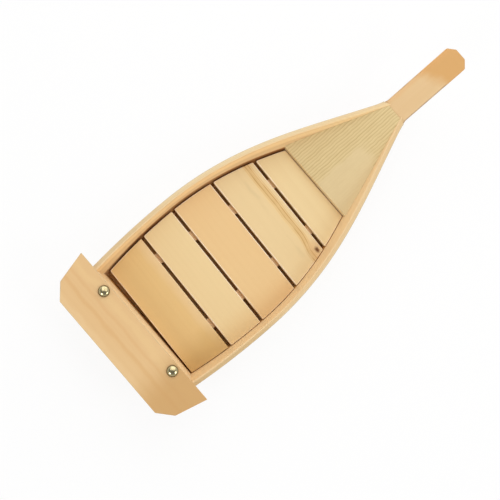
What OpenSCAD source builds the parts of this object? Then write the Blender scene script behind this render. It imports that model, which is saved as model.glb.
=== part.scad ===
// Boat-shaped wooden serving tray with a loose slatted deck.
// Frame: +X to the bow, +Y to port, +Z up. The origin is on the table,
// under the middle of the whole length.

/* [Length] */
// Whole length, from the rear edge of the stern board to the tip of the tongue
boat_len = 420; // [400:1:440]
// Rear edge of the stern board to the widest place of the hull
widest_from_rear = 130; // [115:1:145]
// Length of the tongue that stands out past the side planks
tongue_len = 69; // [50:1:85]

/* [Hull plan] */
// Width over the side planks at the widest place, on their top edges
beam_w = 151.6; // [140:0.2:158]
// How much narrower the hull is at the transom than at the widest place
stern_taper = 11.6; // [4:0.2:22]
// Angle of each side plank to the centre line where it meets the tongue
bow_angle = 22; // [18:0.5:26]

/* [Hull sides] */
// Height of the top edges at the widest place
side_h = 33.5; // [32:0.5:44]
// How much higher the top edges stand at the transom
stern_lift = 7.5; // [1:0.5:9]
// How much higher the top edges stand where they meet the tongue
bow_lift = 15; // [10:0.5:20]
// How far the side planks lean out from the vertical
flare_angle = 14; // [8:0.5:22]
// Thickness of the side planks
plank_t = 4.8; // [3.5:0.1:6]
// Chamfer along the top edges of the side planks
plank_ease = 0.6; // [0.2:0.1:1]

/* [Base and stem] */
// Thickness of the flat bottom plank
base_t = 5; // [4:0.5:8]
// Thickness of the stem board, which is also the tongue
stem_t = 8; // [5:0.5:10]
// Angle at which the stem board rises
stem_rise = 26; // [24:0.5:30]
// Width of the tongue
tongue_w = 25.6; // [22:0.2:30]
// Length of the cut corners at the tip
tip_cut_l = 5; // [2:0.5:10]
// Width of each cut corner at the tip
tip_cut_w = 6.8; // [2:0.2:9]

/* [Transom and stern board] */
// Thickness of the transom
transom_t = 10; // [8:0.5:14]
// Lean of the transom, top edge to the rear
transom_rake = 12; // [6:0.5:16]
// Width of the stern board along its front edge
stern_board_w = 170; // [160:1:180]
// Front-to-back length of the stern board
stern_board_l = 41.6; // [36:0.2:46]
// Thickness of the stern board
stern_board_t = 6; // [4:0.5:8]
// Width of the stern board where its rear corners are cut
stern_board_mid_w = 154.2; // [146:0.2:164]
// Width of the stern board along its rear edge
stern_board_rear_w = 127.2; // [110:0.2:140]
// Front-to-back length of the cut rear corners
stern_corner_l = 11.6; // [6:0.2:16]
// Chamfer round the faces of the stern board
board_ease = 0.5; // [0.2:0.1:1]

/* [Dome nails] */
// Distance between the two dome nails
nail_spacing = 92; // [70:1:110]
// Front edge of the stern board to the nail centres
nail_setback = 6.9; // [6.5:0.1:7.5]
// Diameter of the domed head
nail_head_d = 10.4; // [8:0.2:12]
// Height of the domed head
nail_head_h = 3.2; // [2:0.1:4]
// Diameter of the shank
nail_shank_d = 1.8; // [1.2:0.1:2]
// How deep the shank goes into the transom
nail_bite = 8; // [4:0.5:9]

/* [Bow deck] */
// Length of the bow deck that shows, measured to the ends of the side planks
deck_len = 97.8; // [85:0.2:100]
// Thickness of the bow deck board
deck_t = 5; // [4:0.5:6]
// How far the bow deck's rear edge stands above the slats
deck_step = 5; // [5:0.5:8]
// Thickness of the bulkhead under the bow deck's rear edge
bulkhead_t = 6; // [4:0.5:7]

/* [Slatted deck] */
// Thickness of the slats
slat_t = 5; // [3:0.5:6]
// Gap between one slat and the next
slat_gap = 3.3; // [1.5:0.05:4]
// Chamfer along the top edges of the slats
slat_ease = 0.5; // [0.2:0.1:1]
// How far out of square the slats and runners sit
skew_angle = 1.9; // [0:0.1:2.5]
// Height of the runners under the slats
runner_h = 8; // [6:0.5:10]
// Width of the runners
runner_w = 10.3; // [7:0.1:12]
// Mean gap between the slat ends and the side planks
side_gap = 1.15; // [1:0.05:2]
// How far the slatted deck lies to starboard of the middle
side_shift = 0.6; // [0:0.05:0.9]
// Gap between the last slat and the bow deck
bow_gap = 0.6; // [0.4:0.1:2]
// Least gap between the first slat and the transom
stern_gap = 0.6; // [0.4:0.1:2]

/* [Brads] */
// Diameter of the headless brads
brad_d = 1.2; // [0.8:0.1:1.4]
// How deep a brad goes into the second piece
brad_bite = 8; // [5:0.5:10]
// How deep a brad goes into a slat
slat_bite = 3.5; // [2:0.5:4]
// How far a brad is set below the surface
brad_set = 0.5; // [0.3:0.1:1]
// Brads from below into each side plank along the bottom plank
base_brad_count = 5; // [3:1:8]
// Brads from below into each side plank along the stem board
stem_brad_count = 3; // [2:1:4]

/* [Hidden] */
$fn = 48;

// Clearance of a glued joint, and of a brad in its hole
glue_gap = 0.05;
brad_gap = 0.05;
// Overrun of every cut
over = 1;
// Distance between the cross sections of the bent planks
section_step = 6;
// Slats in the deck, with their widths as shares of the wood between the gaps
slat_shares = [0.214, 0.183, 0.22, 0.221, 0.162];
// Lengths of the plan curve's two straight runs, as shares of its length
plan_run_shares = [0.4, 0.365];
// Distance of the runners from the middle, as shares of the hollow's half width
runner_rear_share = 0.67;
runner_front_share = 0.575;
// Setback of the runners' ends from the ends of the slatted deck
runner_setback = 6.5;
// Least thickness of the bow deck where it runs out on the stem board
deck_end_t = 0.4;
// Heights of the two brads in each end of the transom, as shares of its height
transom_brad_shares = [0.28, 0.72];
// Places of the first and last brads along the two parts of the base
base_brad_shares = [0.06, 0.94];
stem_brad_shares = [0.16, 0.74];
// Bites of the brads at the thin end of the side planks follow the wood there
bite_share = 0.7;

// Places along the length
x_rear = -boat_len / 2;
x_tip = boat_len / 2;
x_widest = x_rear + widest_from_rear;
x_neck = x_tip - tongue_len;
x_transom = x_rear + stern_board_l;
x_deck = x_neck - deck_len;

// Horizontal thickness of a leaning plank
plank_h = plank_t / cos(flare_angle);
transom_h = transom_t / cos(transom_rake);
stem_v = stem_t / cos(stem_rise);

// Heights
z_stern = side_h + stern_lift;
z_slats = base_t + runner_h + slat_t;
z_slat_low = base_t + runner_h;

// Height of the side planks' top edges at x, level under the stern board
function rise(u) = u * u;
function top_z(x) =
    x < x_transom ? z_stern
    : x < x_widest ? side_h + stern_lift * rise((x - x_widest) / (x_transom - x_widest))
    : side_h + bow_lift * rise((x - x_widest) / (x_neck - x_widest));

// Height of the stem board's upper face, which meets the top edges at the neck
function stem_z(x) = top_z(x_neck) + (x - x_neck) * tan(stem_rise);
// Where the stem board starts, at the height of the bottom plank
x_knee = x_neck - (top_z(x_neck) - base_t) / tan(stem_rise);
// Height that the side planks stand on
function seat_z(x) = max(base_t, stem_z(x));

// Half the width over the top edges, as points along the length
function bezier(a, b, c, d, t) =
    a * pow(1 - t, 3) + b * 3 * t * pow(1 - t, 2) + c * 3 * t * t * (1 - t) + d * pow(t, 3);
bow_run = x_neck - x_widest;
plan_ends = [[x_widest, beam_w / 2], [x_neck, tongue_w / 2]];
plan_handles = [
    plan_ends[0] + [bow_run * plan_run_shares[0], 0],
    plan_ends[1] + bow_run * plan_run_shares[1] * [-cos(bow_angle), sin(bow_angle)]];
bow_steps = round(bow_run / section_step);
stern_steps = round((x_widest - x_rear) / section_step);
function stern_half(x) =
    beam_w / 2 - stern_taper / 2 * rise((x_widest - x) / (x_widest - x_transom));
plan = concat(
    [for (i = [0 : stern_steps - 1])
        let (x = x_rear + (x_widest - x_rear) * i / stern_steps) [x, stern_half(x)]],
    [for (i = [0 : bow_steps])
        bezier(plan_ends[0], plan_handles[0], plan_handles[1], plan_ends[1], i / bow_steps)]);
function top_half(x) = lookup(x, plan);

// Half widths at x and height z: outside, and inside the side planks
function outer(x, z) = top_half(x) - (top_z(x) - z) * tan(flare_angle);
function plan_slope(x) =
    (top_half(x + section_step / 2) - top_half(x - section_step / 2)) / section_step;
function across(x) = sqrt(1 + rise(plan_slope(min(x, x_neck - section_step / 2))));
function inner(x, z) = outer(x, z) - plank_h * across(x);

// Faces of the transom at height z: the one to the bow, and the one to the rear
function transom_x(z) = x_transom + (z_stern - z) * tan(transom_rake);
function transom_rear_x(z) = transom_x(z) - transom_h;

// Bow deck: its upper face, then its lower one, cut off on the stem board
z_deck = z_slats + deck_step;
deck_slope = (stem_z(x_neck) - z_deck) / (x_neck - x_deck);
function deck_z(x) = z_deck + (x - x_deck) * deck_slope;
deck_v = deck_t * sqrt(1 + rise(deck_slope));
function deck_low_z(x) = max(deck_z(x) - deck_v, stem_z(x) + glue_gap);
x_deck_end = x_neck
    - (stem_z(x_neck) + glue_gap + deck_end_t - deck_z(x_neck)) / (tan(stem_rise) - deck_slope);

// Slatted deck: its ends, its middle and the width of each slat
x_slats_front = x_deck - bow_gap;
x_slats_rear = transom_x(z_slat_low) + stern_gap
    + inner(x_transom, z_slat_low) * tan(skew_angle);
x_slats_mid = (x_slats_front + x_slats_rear) / 2;
slats_len = x_slats_front - x_slats_rear;
slat_wood = slats_len - slat_gap * (len(slat_shares) - 1);
function sum(list, n) = n == 0 ? 0 : list[n - 1] + sum(list, n - 1);
function slat_x(i) = x_slats_rear + slat_wood * sum(slat_shares, i) + slat_gap * i;
function slat_w(i) = slat_wood * slat_shares[i];

// Runner ends, before the deck is turned out of square
runner_xs = [x_slats_rear + runner_setback, x_slats_front - runner_setback];
runner_ys = [inner(runner_xs[0], z_slats) * runner_rear_share,
             inner(runner_xs[1], z_slats) * runner_front_share];
runner_turn = atan2(runner_ys[1] - runner_ys[0], runner_xs[1] - runner_xs[0]);
runner_len = norm([runner_xs[1] - runner_xs[0], runner_ys[1] - runner_ys[0]]);

// Sections of the bent planks, at the plan points between two places
function stations(a, b) = concat(
    [a], [for (p = plan) if (p[0] > a + section_step / 4 && p[0] < b - section_step / 4) p[0]], [b]);
plank_stations = concat(stations(transom_rear_x(base_t) + section_step / 2, x_knee),
                        [for (x = stations(x_knee, x_neck - over)) if (x > x_knee) x]);

// Solid through a row of sections, each a ring of the same number of points
module loft(rings) {
    n = len(rings[0]);
    last = len(rings) - 1;
    points = [for (ring = rings) each ring];
    sides = [for (i = [0 : last - 1], j = [0 : n - 1])
        let (k = (j + 1) % n, a = i * n + j, b = i * n + k, c = a + n, d = b + n)
        each [[a, d, c], [a, b, d]]];
    start = [for (j = [1 : n - 2]) [0, j + 1, j]];
    end = [for (j = [1 : n - 2]) [last * n, last * n + j, last * n + j + 1]];
    polyhedron(points, concat(sides, start, end));
}

// Convex board with both faces chamfered all round
module eased_board(outline, t, ease) {
    hull() {
        linear_extrude(t) offset(delta = -ease) polygon(outline);
        translate([0, 0, ease]) linear_extrude(t - 2 * ease) polygon(outline);
    }
}

// Straight rod from one point to another
module rod(a, b, d) {
    v = b - a;
    translate(a) rotate([0, acos(v[2] / norm(v)), atan2(v[1], v[0])]) cylinder(d = d, h = norm(v));
}

module both_sides() {
    children();
    mirror([0, 1, 0]) children();
}

// A brad's hole, or with grow at zero the brad itself, from its sunk end to its point
module brad(a, b, grow) {
    v = (b - a) / norm(b - a);
    rod(grow > 0 ? a - v * (brad_set + over) : a, b + v * grow, brad_d + 2 * grow);
}

// Brads up through the base into the middle of the side planks
base_brad_xs = [for (i = [0 : base_brad_count - 1])
    transom_x(base_t) + (x_deck - transom_x(base_t))
        * (base_brad_shares[0] + (base_brad_shares[1] - base_brad_shares[0]) * i / (base_brad_count - 1))];
stem_brad_xs = [for (i = [0 : stem_brad_count - 1])
    x_knee + (x_neck - x_knee)
        * (stem_brad_shares[0] + (stem_brad_shares[1] - stem_brad_shares[0]) * i / (stem_brad_count - 1))];
module base_brad(x, grow) {
    seat = seat_z(x);
    under = x < x_knee ? 0 : max(0, seat - stem_v);
    bite = min(brad_bite, (top_z(x) - seat) * bite_share);
    y = (outer(x, seat) + inner(x, seat)) / 2;
    lean = tan(flare_angle);
    low = under + brad_set;
    brad([x, y - (seat - low) * lean, low], [x, y + bite * lean, seat + bite], grow);
}
module all_base_brads(grow) {
    both_sides() for (x = concat(base_brad_xs, stem_brad_xs)) base_brad(x, grow);
}

// Brads through the side planks, into the ends of the transom and the bulkhead
transom_brads = [for (s = transom_brad_shares)
    let (z = base_t + (z_stern - base_t) * s) [(transom_x(z) + transom_rear_x(z)) / 2, z]];
bulkhead_x = x_deck + glue_gap + bulkhead_t / 2;
bulkhead_brad = [bulkhead_x, (base_t + deck_low_z(bulkhead_x)) / 2];
module side_brad(p, grow) {
    brad([p[0], outer(p[0], p[1]) - brad_set, p[1]],
         [p[0], inner(p[0], p[1]) - brad_bite, p[1]], grow);
}
module all_side_brads(grow) {
    both_sides() for (p = concat(transom_brads, [bulkhead_brad])) side_brad(p, grow);
}

module dome_nail_places() {
    for (side = [-1, 1])
        translate([x_transom - nail_setback, side * nail_spacing / 2, z_stern + stern_board_t])
            children();
}
module nail_holes() {
    r = nail_shank_d / 2 + brad_gap;
    depth = stern_board_t + nail_bite + brad_gap;
    dome_nail_places() translate([0, 0, -depth]) cylinder(r = r, h = depth + over);
}

// Flat bottom plank, between the transom's foot and the stem board
module bottom_plank() {
    xs = stations(transom_rear_x(base_t), x_knee);
    edge = [for (x = xs) [x, outer(x, base_t)]];
    color([0.86, 0.72, 0.51]) difference() {
        linear_extrude(base_t) polygon(concat(edge, [for (i = [len(edge) - 1 : -1 : 0])
            [edge[i][0], -edge[i][1]]]));
        all_base_brads(brad_gap);
    }
}

// Stem board: closes the bow from below and runs on as the tongue
module stem_board() {
    xs = stations(x_knee, x_neck);
    slide = stem_v;
    half = tongue_w / 2;
    hull_edge = [for (x = xs) [(x - x_knee) / cos(stem_rise), outer(x, stem_z(x))]];
    foot = [-slide, hull_edge[0][1]];
    tip = (x_tip - x_knee) / cos(stem_rise);
    reach = tip + slide;
    cut = tip_cut_l / cos(stem_rise);
    edge = concat([foot], hull_edge, [[reach, half]]);
    all = concat(edge, [for (i = [len(edge) - 1 : -1 : 0]) [edge[i][0], -edge[i][1]]]);
    color([0.90, 0.76, 0.58]) difference() {
        translate([x_knee, 0, base_t]) rotate([0, -stem_rise, 0])
            translate([0, 0, -stem_t]) linear_extrude(stem_t) polygon(all);
        translate([x_knee - boat_len, -beam_w / 2, -boat_len / 2])
            cube([boat_len, beam_w, boat_len]);
        translate([x_rear, -beam_w / 2, -boat_len]) cube([2 * boat_len, beam_w, boat_len]);
        tip_cut(cut);
        all_base_brads(brad_gap);
    }
}

// What is cut off beyond the tip: an upright end face with cut corners
module tip_cut(cut) {
    half = tongue_w / 2;
    both_sides() linear_extrude(boat_len) polygon([
        [x_tip, -over], [x_tip, half - tip_cut_w], [x_tip - tip_cut_l, half],
        [x_tip - tip_cut_l, half + over], [x_tip + boat_len / 4, half + over],
        [x_tip + boat_len / 4, -over]]);
}

// Side plank: leaning, bent along the plan curve, standing on base and stem board
module side_plank() {
    function ring(x0, x1, x2) = let (z0 = seat_z(x0), z1 = top_z(x1), e = min(plank_ease, (z1 - z0) / 3))
        [[x0, outer(x0, z0), z0], [x0, inner(x0, z0), z0],
         [x2, inner(x2, z1 - e), z1 - e], [x1, inner(x1, z1) + e, z1],
         [x1, outer(x1, z1) - e, z1], [x2, outer(x2, z1 - e), z1 - e]];
    rear = ring(transom_rear_x(base_t), transom_rear_x(z_stern),
                transom_rear_x(z_stern - plank_ease));
    difference() {
        loft(concat([rear], [for (x = plank_stations) ring(x, x, x)]));
        all_base_brads(brad_gap);
        all_side_brads(brad_gap);
    }
}
module port_side_plank() { color([0.92, 0.78, 0.55]) side_plank(); }
module starboard_side_plank() { color([0.92, 0.78, 0.55]) mirror([0, 1, 0]) side_plank(); }

// Transom: leaning board between the rear ends of the side planks
module transom() {
    function corner(x, z, side) = [x, side * (inner(x, z) - glue_gap), z];
    function ring(side) = [
        corner(transom_x(base_t), base_t, side), corner(transom_rear_x(base_t), base_t, side),
        corner(transom_rear_x(z_stern), z_stern, side), corner(transom_x(z_stern), z_stern, side)];
    color([0.88, 0.72, 0.50]) difference() {
        loft([ring(-1), ring(1)]);
        nail_holes();
        all_side_brads(brad_gap);
    }
}

// Stern board: lies on the transom and the side planks, with free ends outboard
module stern_board() {
    outline = [
        [x_transom, -stern_board_w / 2], [x_transom, stern_board_w / 2],
        [x_rear + stern_corner_l, stern_board_mid_w / 2], [x_rear, stern_board_rear_w / 2],
        [x_rear, -stern_board_rear_w / 2], [x_rear + stern_corner_l, -stern_board_mid_w / 2]];
    color([0.90, 0.76, 0.57]) difference() {
        translate([0, 0, z_stern]) eased_board(outline, stern_board_t, board_ease);
        nail_holes();
    }
}

// Two brass nails with domed heads
module stern_nails() {
    r = nail_head_d / 2;
    ball = (rise(r) + rise(nail_head_h)) / (2 * nail_head_h);
    length = stern_board_t + nail_bite;
    color([0.78, 0.66, 0.36]) dome_nail_places() {
        translate([0, 0, -length]) cylinder(d = nail_shank_d, h = length + nail_head_h / 2);
        intersection() {
            translate([0, 0, nail_head_h - ball]) sphere(r = ball);
            cylinder(r = 2 * r, h = nail_head_h + over);
        }
    }
}

// Bulkhead: stands on the bottom plank and carries the bow deck's rear edge
module bow_bulkhead() {
    function ring(x) = let (low = base_t, high = deck_z(x) - deck_v,
                            a = inner(x, low) - glue_gap, b = inner(x, high) - glue_gap)
        [[x, a, low], [x, -a, low], [x, -b, high], [x, b, high]];
    color([0.86, 0.70, 0.47]) difference() {
        loft([ring(bulkhead_x - bulkhead_t / 2), ring(bulkhead_x + bulkhead_t / 2)]);
        all_side_brads(brad_gap);
        translate([x_knee, -beam_w / 2, base_t]) rotate([0, -stem_rise, 0])
            translate([0, 0, -stem_t]) cube([deck_len, beam_w, stem_t + glue_gap]);
    }
}

// Bow deck: one board between the side planks, run out thin on the stem board
module bow_deck() {
    function ring(x) = let (low = deck_low_z(x), high = deck_z(x),
                            a = inner(x, low) - glue_gap, b = inner(x, high) - glue_gap)
        [[x, a, low], [x, -a, low], [x, -b, high], [x, b, high]];
    color([0.87, 0.79, 0.59]) loft([for (x = stations(x_deck, x_deck_end)) ring(x)]);
}

module base_brads() { color([0.62, 0.62, 0.63]) all_base_brads(0); }
module side_brads() { color([0.62, 0.62, 0.63]) all_side_brads(0); }

// Places what follows in the slatted deck's own frame, out of square and to starboard
module turned() {
    translate([x_slats_mid, -side_shift, 0]) rotate([0, 0, -skew_angle])
        translate([-x_slats_mid, 0, 0]) children();
}

// Space that the slats fill together: it follows the side planks
module slat_envelope() {
    function half(x, z) = inner(x, z) - side_gap * across(x);
    function ring(x) = let (a = half(x, z_slat_low), b = half(x, z_slats - slat_ease),
                            c = half(x, z_slats) - slat_ease)
        [[x, a, z_slat_low], [x, -a, z_slat_low], [x, -b, z_slats - slat_ease],
         [x, -c, z_slats], [x, c, z_slats], [x, b, z_slats - slat_ease]];
    translate([0, -side_shift, 0])
        loft([for (x = stations(x_slats_rear - 2 * section_step, x_slats_front)) ring(x)]);
}

// One slat: a strip with eased top edges, its ends following the side planks
module slat(i, tone) {
    last = i == len(slat_shares) - 1;
    a = slat_x(i);
    b = last ? a + slat_w(i) + section_step : a + slat_w(i);
    color(tone) difference() {
        intersection() {
            slat_envelope();
            turned() rotate([90, 0, 0]) linear_extrude(beam_w, center = true) polygon([
                [a, z_slat_low - over], [b, z_slat_low - over], [b, z_slats - slat_ease],
                [b - slat_ease - over, z_slats + over], [a + slat_ease + over, z_slats + over],
                [a, z_slats - slat_ease]]);
        }
        all_slat_brads(brad_gap);
    }
}
module slat_1() { slat(0, [0.86, 0.69, 0.46]); }
module slat_2() { slat(1, [0.92, 0.81, 0.58]); }
module slat_3() { slat(2, [0.91, 0.76, 0.54]); }
module slat_4() { slat(3, [0.90, 0.80, 0.59]); }
module slat_5() { slat(4, [0.92, 0.81, 0.60]); }

// Runners: they stand on the bottom plank, closer together toward the bow
function runner_y(x) =
    runner_ys[0] + (runner_ys[1] - runner_ys[0]) * (x - runner_xs[0]) / (runner_xs[1] - runner_xs[0]);
module runner(side) {
    difference() {
        turned() translate([runner_xs[0], side * runner_ys[0], base_t])
            rotate([0, 0, side * runner_turn]) translate([0, -runner_w / 2, 0])
                cube([runner_len, runner_w, runner_h]);
        all_slat_brads(brad_gap);
    }
}
module port_runner() { color([0.83, 0.66, 0.43]) runner(1); }
module starboard_runner() { color([0.83, 0.66, 0.43]) runner(-1); }

// Brads up through the runners, one into each end of each slat
module all_slat_brads(grow) {
    turned() both_sides() for (i = [0 : len(slat_shares) - 1])
        let (x = min(slat_x(i) + slat_w(i) / 2, runner_xs[1] - runner_w))
            brad([x, runner_y(x), base_t + brad_set],
                 [x, runner_y(x), z_slat_low + slat_bite], grow);
}
module slat_brads() { color([0.62, 0.62, 0.63]) all_slat_brads(0); }

bottom_plank();
stem_board();
port_side_plank();
starboard_side_plank();
transom();
stern_board();
stern_nails();
bow_bulkhead();
bow_deck();
base_brads();
side_brads();
slat_1();
slat_2();
slat_3();
slat_4();
slat_5();
port_runner();
starboard_runner();
slat_brads();
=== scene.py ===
# %% [markdown]
# # A boat-shaped wooden serving board
# The board is a small boat of pale softwood: two thin planks bent round a flat
# bottom, a wide board across the stern held by two domed brass nails, a pointed
# deck at the bow and a loose slatted deck to put the food on. The packed CAD model
# is the fixed frame. This script builds finer pieces on it and gives every surface
# a procedural finish. All lengths are in metres.

# %% Load the frame
import math

import bmesh
import bpy
import numpy as np
from mathutils import Matrix, Vector


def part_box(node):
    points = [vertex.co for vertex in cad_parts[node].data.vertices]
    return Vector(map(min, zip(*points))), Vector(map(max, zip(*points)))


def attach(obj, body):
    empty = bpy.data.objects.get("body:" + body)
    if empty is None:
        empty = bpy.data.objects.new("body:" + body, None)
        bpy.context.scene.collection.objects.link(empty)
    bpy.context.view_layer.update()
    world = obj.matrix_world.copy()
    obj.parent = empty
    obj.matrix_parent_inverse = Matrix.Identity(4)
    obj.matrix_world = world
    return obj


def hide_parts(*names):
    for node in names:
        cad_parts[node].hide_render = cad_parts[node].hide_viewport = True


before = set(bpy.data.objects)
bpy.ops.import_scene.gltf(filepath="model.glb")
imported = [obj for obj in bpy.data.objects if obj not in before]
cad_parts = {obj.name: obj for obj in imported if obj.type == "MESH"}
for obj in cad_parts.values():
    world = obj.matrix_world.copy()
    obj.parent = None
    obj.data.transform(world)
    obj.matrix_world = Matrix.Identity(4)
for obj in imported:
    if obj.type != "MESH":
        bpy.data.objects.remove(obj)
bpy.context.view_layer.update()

# %% [markdown]
# ## The sizes that the pieces share
# The planks, the slats and the bow deck all follow one curve, so they are worked
# out from one set of sizes, as a boat builder does from a lines plan. Tracing each
# piece by hand would be quicker at first, but then the gaps between the slats and
# the planks would never stay even.

# %% Sizes
MM = 0.001
LENGTH, HALF_BEAM = 420 * MM, 75.8 * MM
STERN_TAPER = 5.8 * MM
SIDE_HEIGHT, STERN_LIFT, BOW_LIFT = 33.5 * MM, 7.5 * MM, 15 * MM
FLARE_ANGLE, RAKE_ANGLE = math.radians(14), math.radians(12)
FLARE, RAKE = math.tan(FLARE_ANGLE), math.tan(RAKE_ANGLE)
PLANK = 4.8 * MM / math.cos(FLARE_ANGLE)
TRANSOM = 10 * MM / math.cos(RAKE_ANGLE)
BASE = 5 * MM
STEM_RISE = math.tan(math.radians(26))
TONGUE_LENGTH, TONGUE_HALF = 69 * MM, 12.8 * MM
SKEW = math.radians(1.9)
SIDE_SHIFT, SIDE_GAP = 0.6 * MM, 1.15 * MM
GLUE = 0.05 * MM

X_REAR, X_TIP = -LENGTH / 2, LENGTH / 2
X_WIDEST = X_REAR + 130 * MM
X_NECK = X_TIP - TONGUE_LENGTH
X_TRANSOM = X_REAR + 41.6 * MM
X_DECK = X_NECK - 97.8 * MM
Z_STERN = SIDE_HEIGHT + STERN_LIFT
Z_SLAT_LOW, Z_SLATS = 13 * MM, 18 * MM
print(f"hull {LENGTH:.3f} m long, {2 * HALF_BEAM:.3f} m over the planks")

# %% [markdown]
# ## The lines plan
# Seen from above, a plank runs almost straight from the transom to the widest place
# and then along a long curve to the tongue. A cubic curve through four points gives
# that line. The top edges rise to both ends, and the planks lean out.

# %% Rules of the hull
BOW_ANGLE = math.radians(22)
FIRST_HANDLE, LAST_HANDLE = 0.4, 0.365
STERN_STEPS, BOW_STEPS = 40, 120
bow_length = X_NECK - X_WIDEST
handle = LAST_HANDLE * bow_length
corners = [(X_WIDEST, HALF_BEAM), (X_WIDEST + FIRST_HANDLE * bow_length, HALF_BEAM),
           (X_NECK - handle * math.cos(BOW_ANGLE), TONGUE_HALF + handle * math.sin(BOW_ANGLE)),
           (X_NECK, TONGUE_HALF)]


def curve_point(t):
    weights = ((1 - t) ** 3, 3 * t * (1 - t) ** 2, 3 * t * t * (1 - t), t ** 3)
    return [sum(w * c[i] for w, c in zip(weights, corners)) for i in (0, 1)]


plan_x = [X_REAR + (X_WIDEST - X_REAR) * i / STERN_STEPS for i in range(STERN_STEPS)]
plan_y = [HALF_BEAM - STERN_TAPER * ((X_WIDEST - x) / (X_WIDEST - X_TRANSOM)) ** 2 for x in plan_x]
for i in range(BOW_STEPS + 1):
    x, y = curve_point(i / BOW_STEPS)
    plan_x.append(x)
    plan_y.append(y)


def half_top(x):
    return float(np.interp(x, plan_x, plan_y))


def top(x):
    if x < X_TRANSOM:
        return Z_STERN
    if x < X_WIDEST:
        return SIDE_HEIGHT + STERN_LIFT * ((x - X_WIDEST) / (X_TRANSOM - X_WIDEST)) ** 2
    return SIDE_HEIGHT + BOW_LIFT * ((x - X_WIDEST) / (X_NECK - X_WIDEST)) ** 2


def stem_top(x):
    return top(X_NECK) + (x - X_NECK) * STEM_RISE


def seat(x):
    return max(BASE, stem_top(x))


def slope(x):
    step = 3 * MM
    x = min(x, X_NECK - step)
    return (half_top(x + step) - half_top(x - step)) / (2 * step)


def widened(x):
    """How many times its own width a thickness or a gap measures where the hull bends."""
    return math.sqrt(1 + slope(x) ** 2)


def outside(x, z):
    return half_top(x) - (top(x) - z) * FLARE


def inside(x, z):
    return outside(x, z) - PLANK * widened(x)


print(f"top edges at {top(X_TRANSOM):.4f}, {top(X_WIDEST):.4f} and {top(X_NECK):.4f} m")

# %% [markdown]
# ## Sums in a node tree
# A node tree is a sum drawn with wires. Written as nested calls it is hard to read,
# so a small class stands for a value on its way through a tree. Two such values can
# be added or multiplied as numbers are, and each sign adds one Math node.

# %% Values in a node tree
class Flow:
    """A value on its way through a node tree."""

    def __init__(self, tree, socket):
        self.tree, self.socket = tree, socket

    def __add__(self, other):
        return calc("ADD", self, other)

    def __sub__(self, other):
        return calc("SUBTRACT", self, other)

    def __rsub__(self, other):
        return calc("SUBTRACT", other, self)

    def __mul__(self, other):
        return calc("MULTIPLY", self, other)

    def __truediv__(self, other):
        return calc("DIVIDE", self, other)

    def __rtruediv__(self, other):
        return calc("DIVIDE", other, self)


def feed(socket, value):
    """Wires a flow into a socket, or types a plain value into it."""
    if isinstance(value, Flow):
        value.tree.links.new(value.socket, socket)
    elif value is not None:
        socket.default_value = value


def add(tree, kind, inputs=None, **settings):
    node = tree.nodes.new(kind)
    for name, value in settings.items():
        setattr(node, name, value)
    for name, value in (inputs or {}).items():
        feed(node.inputs[name], value)
    return node


def output(tree, kind, socket=0, inputs=None, **settings):
    """Adds a node and returns one of its outputs."""
    return Flow(tree, add(tree, kind, inputs, **settings).outputs[socket])


def calc(operation, *values, clamp=False):
    tree = next(value.tree for value in values if isinstance(value, Flow))
    return output(tree, "ShaderNodeMath", 0, dict(enumerate(values)), operation=operation, use_clamp=clamp)


print("what a value in a tree can do:", [name.strip("_") for name in vars(Flow) if "_" in name[:3]][1:])


# %% Helpers for places, noise and colours
def parts(place):
    split = add(place.tree, "ShaderNodeSeparateXYZ", {0: place})
    return [Flow(place.tree, socket) for socket in split.outputs]


def vector_math(operation, place, other=None, result="Vector"):
    return output(place.tree, "ShaderNodeVectorMath", result, {0: place, 1: other}, operation=operation)


def stretch(place, *scale):
    return vector_math("MULTIPLY", place, scale)


def noise(place, waves, detail=2.0, seed=0.0, rough=0.5):
    """Noise with so many waves to the metre: one number, or one for each direction."""
    if isinstance(waves, tuple):
        place, waves = stretch(place, *waves), 1.0
    return output(place.tree, "ShaderNodeTexNoise", "Fac", {
        "Vector": place, "Scale": waves, "Detail": detail, "Roughness": rough, "W": seed},
        noise_dimensions="4D")


def fit(value, low, high, to_low=0.0, to_high=1.0, kind="SMOOTHSTEP"):
    return output(value.tree, "ShaderNodeMapRange", "Result", {
        "Value": value, "From Min": low, "From Max": high, "To Min": to_low, "To Max": to_high},
        interpolation_type=kind)


def mix(factor, a, b, mode="MIX"):
    return output(factor.tree, "ShaderNodeMix", 2, {0: factor, 6: a, 7: b}, data_type="RGBA", blend_type=mode)


def tone(red, green, blue):
    """A colour as a screen shows it, 0 to 255, turned into the linear colour that Blender mixes."""
    return tuple((c / 255 / 12.92) if c <= 10 else ((c / 255 + 0.055) / 1.055) ** 2.4
                 for c in (red, green, blue)) + (1.0,)


print("middle grey as Blender mixes it:", round(tone(128, 128, 128)[0], 3))


# %% Helpers for groups
def socket_kind(value):
    """The kind of socket that a first value needs. A kind's name stands for itself."""
    if isinstance(value, str):
        return value
    if isinstance(value, tuple):
        return {3: "Vector", 4: "Color"}[len(value)]
    return type(value).__name__.title()


def new_group(name, inputs, outputs, kind="ShaderNodeTree"):
    tree = bpy.data.node_groups.new(name, kind)
    for label, value in inputs.items():
        made = tree.interface.new_socket(label, in_out="INPUT", socket_type="NodeSocket" + socket_kind(value))
        if not isinstance(value, str):
            made.default_value = value
    for label, socket in outputs.items():
        tree.interface.new_socket(label, in_out="OUTPUT", socket_type="NodeSocket" + socket)
    take = {socket.name: Flow(tree, socket) for socket in tree.nodes.new("NodeGroupInput").outputs}
    return tree, take, tree.nodes.new("NodeGroupOutput").inputs


def use(tree, group, inputs):
    """Places a group in a tree and returns its outputs by name."""
    node = add(tree, "ShaderNodeGroup", inputs, node_tree=group)
    return {socket.name: Flow(tree, socket) for socket in node.outputs}


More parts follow.
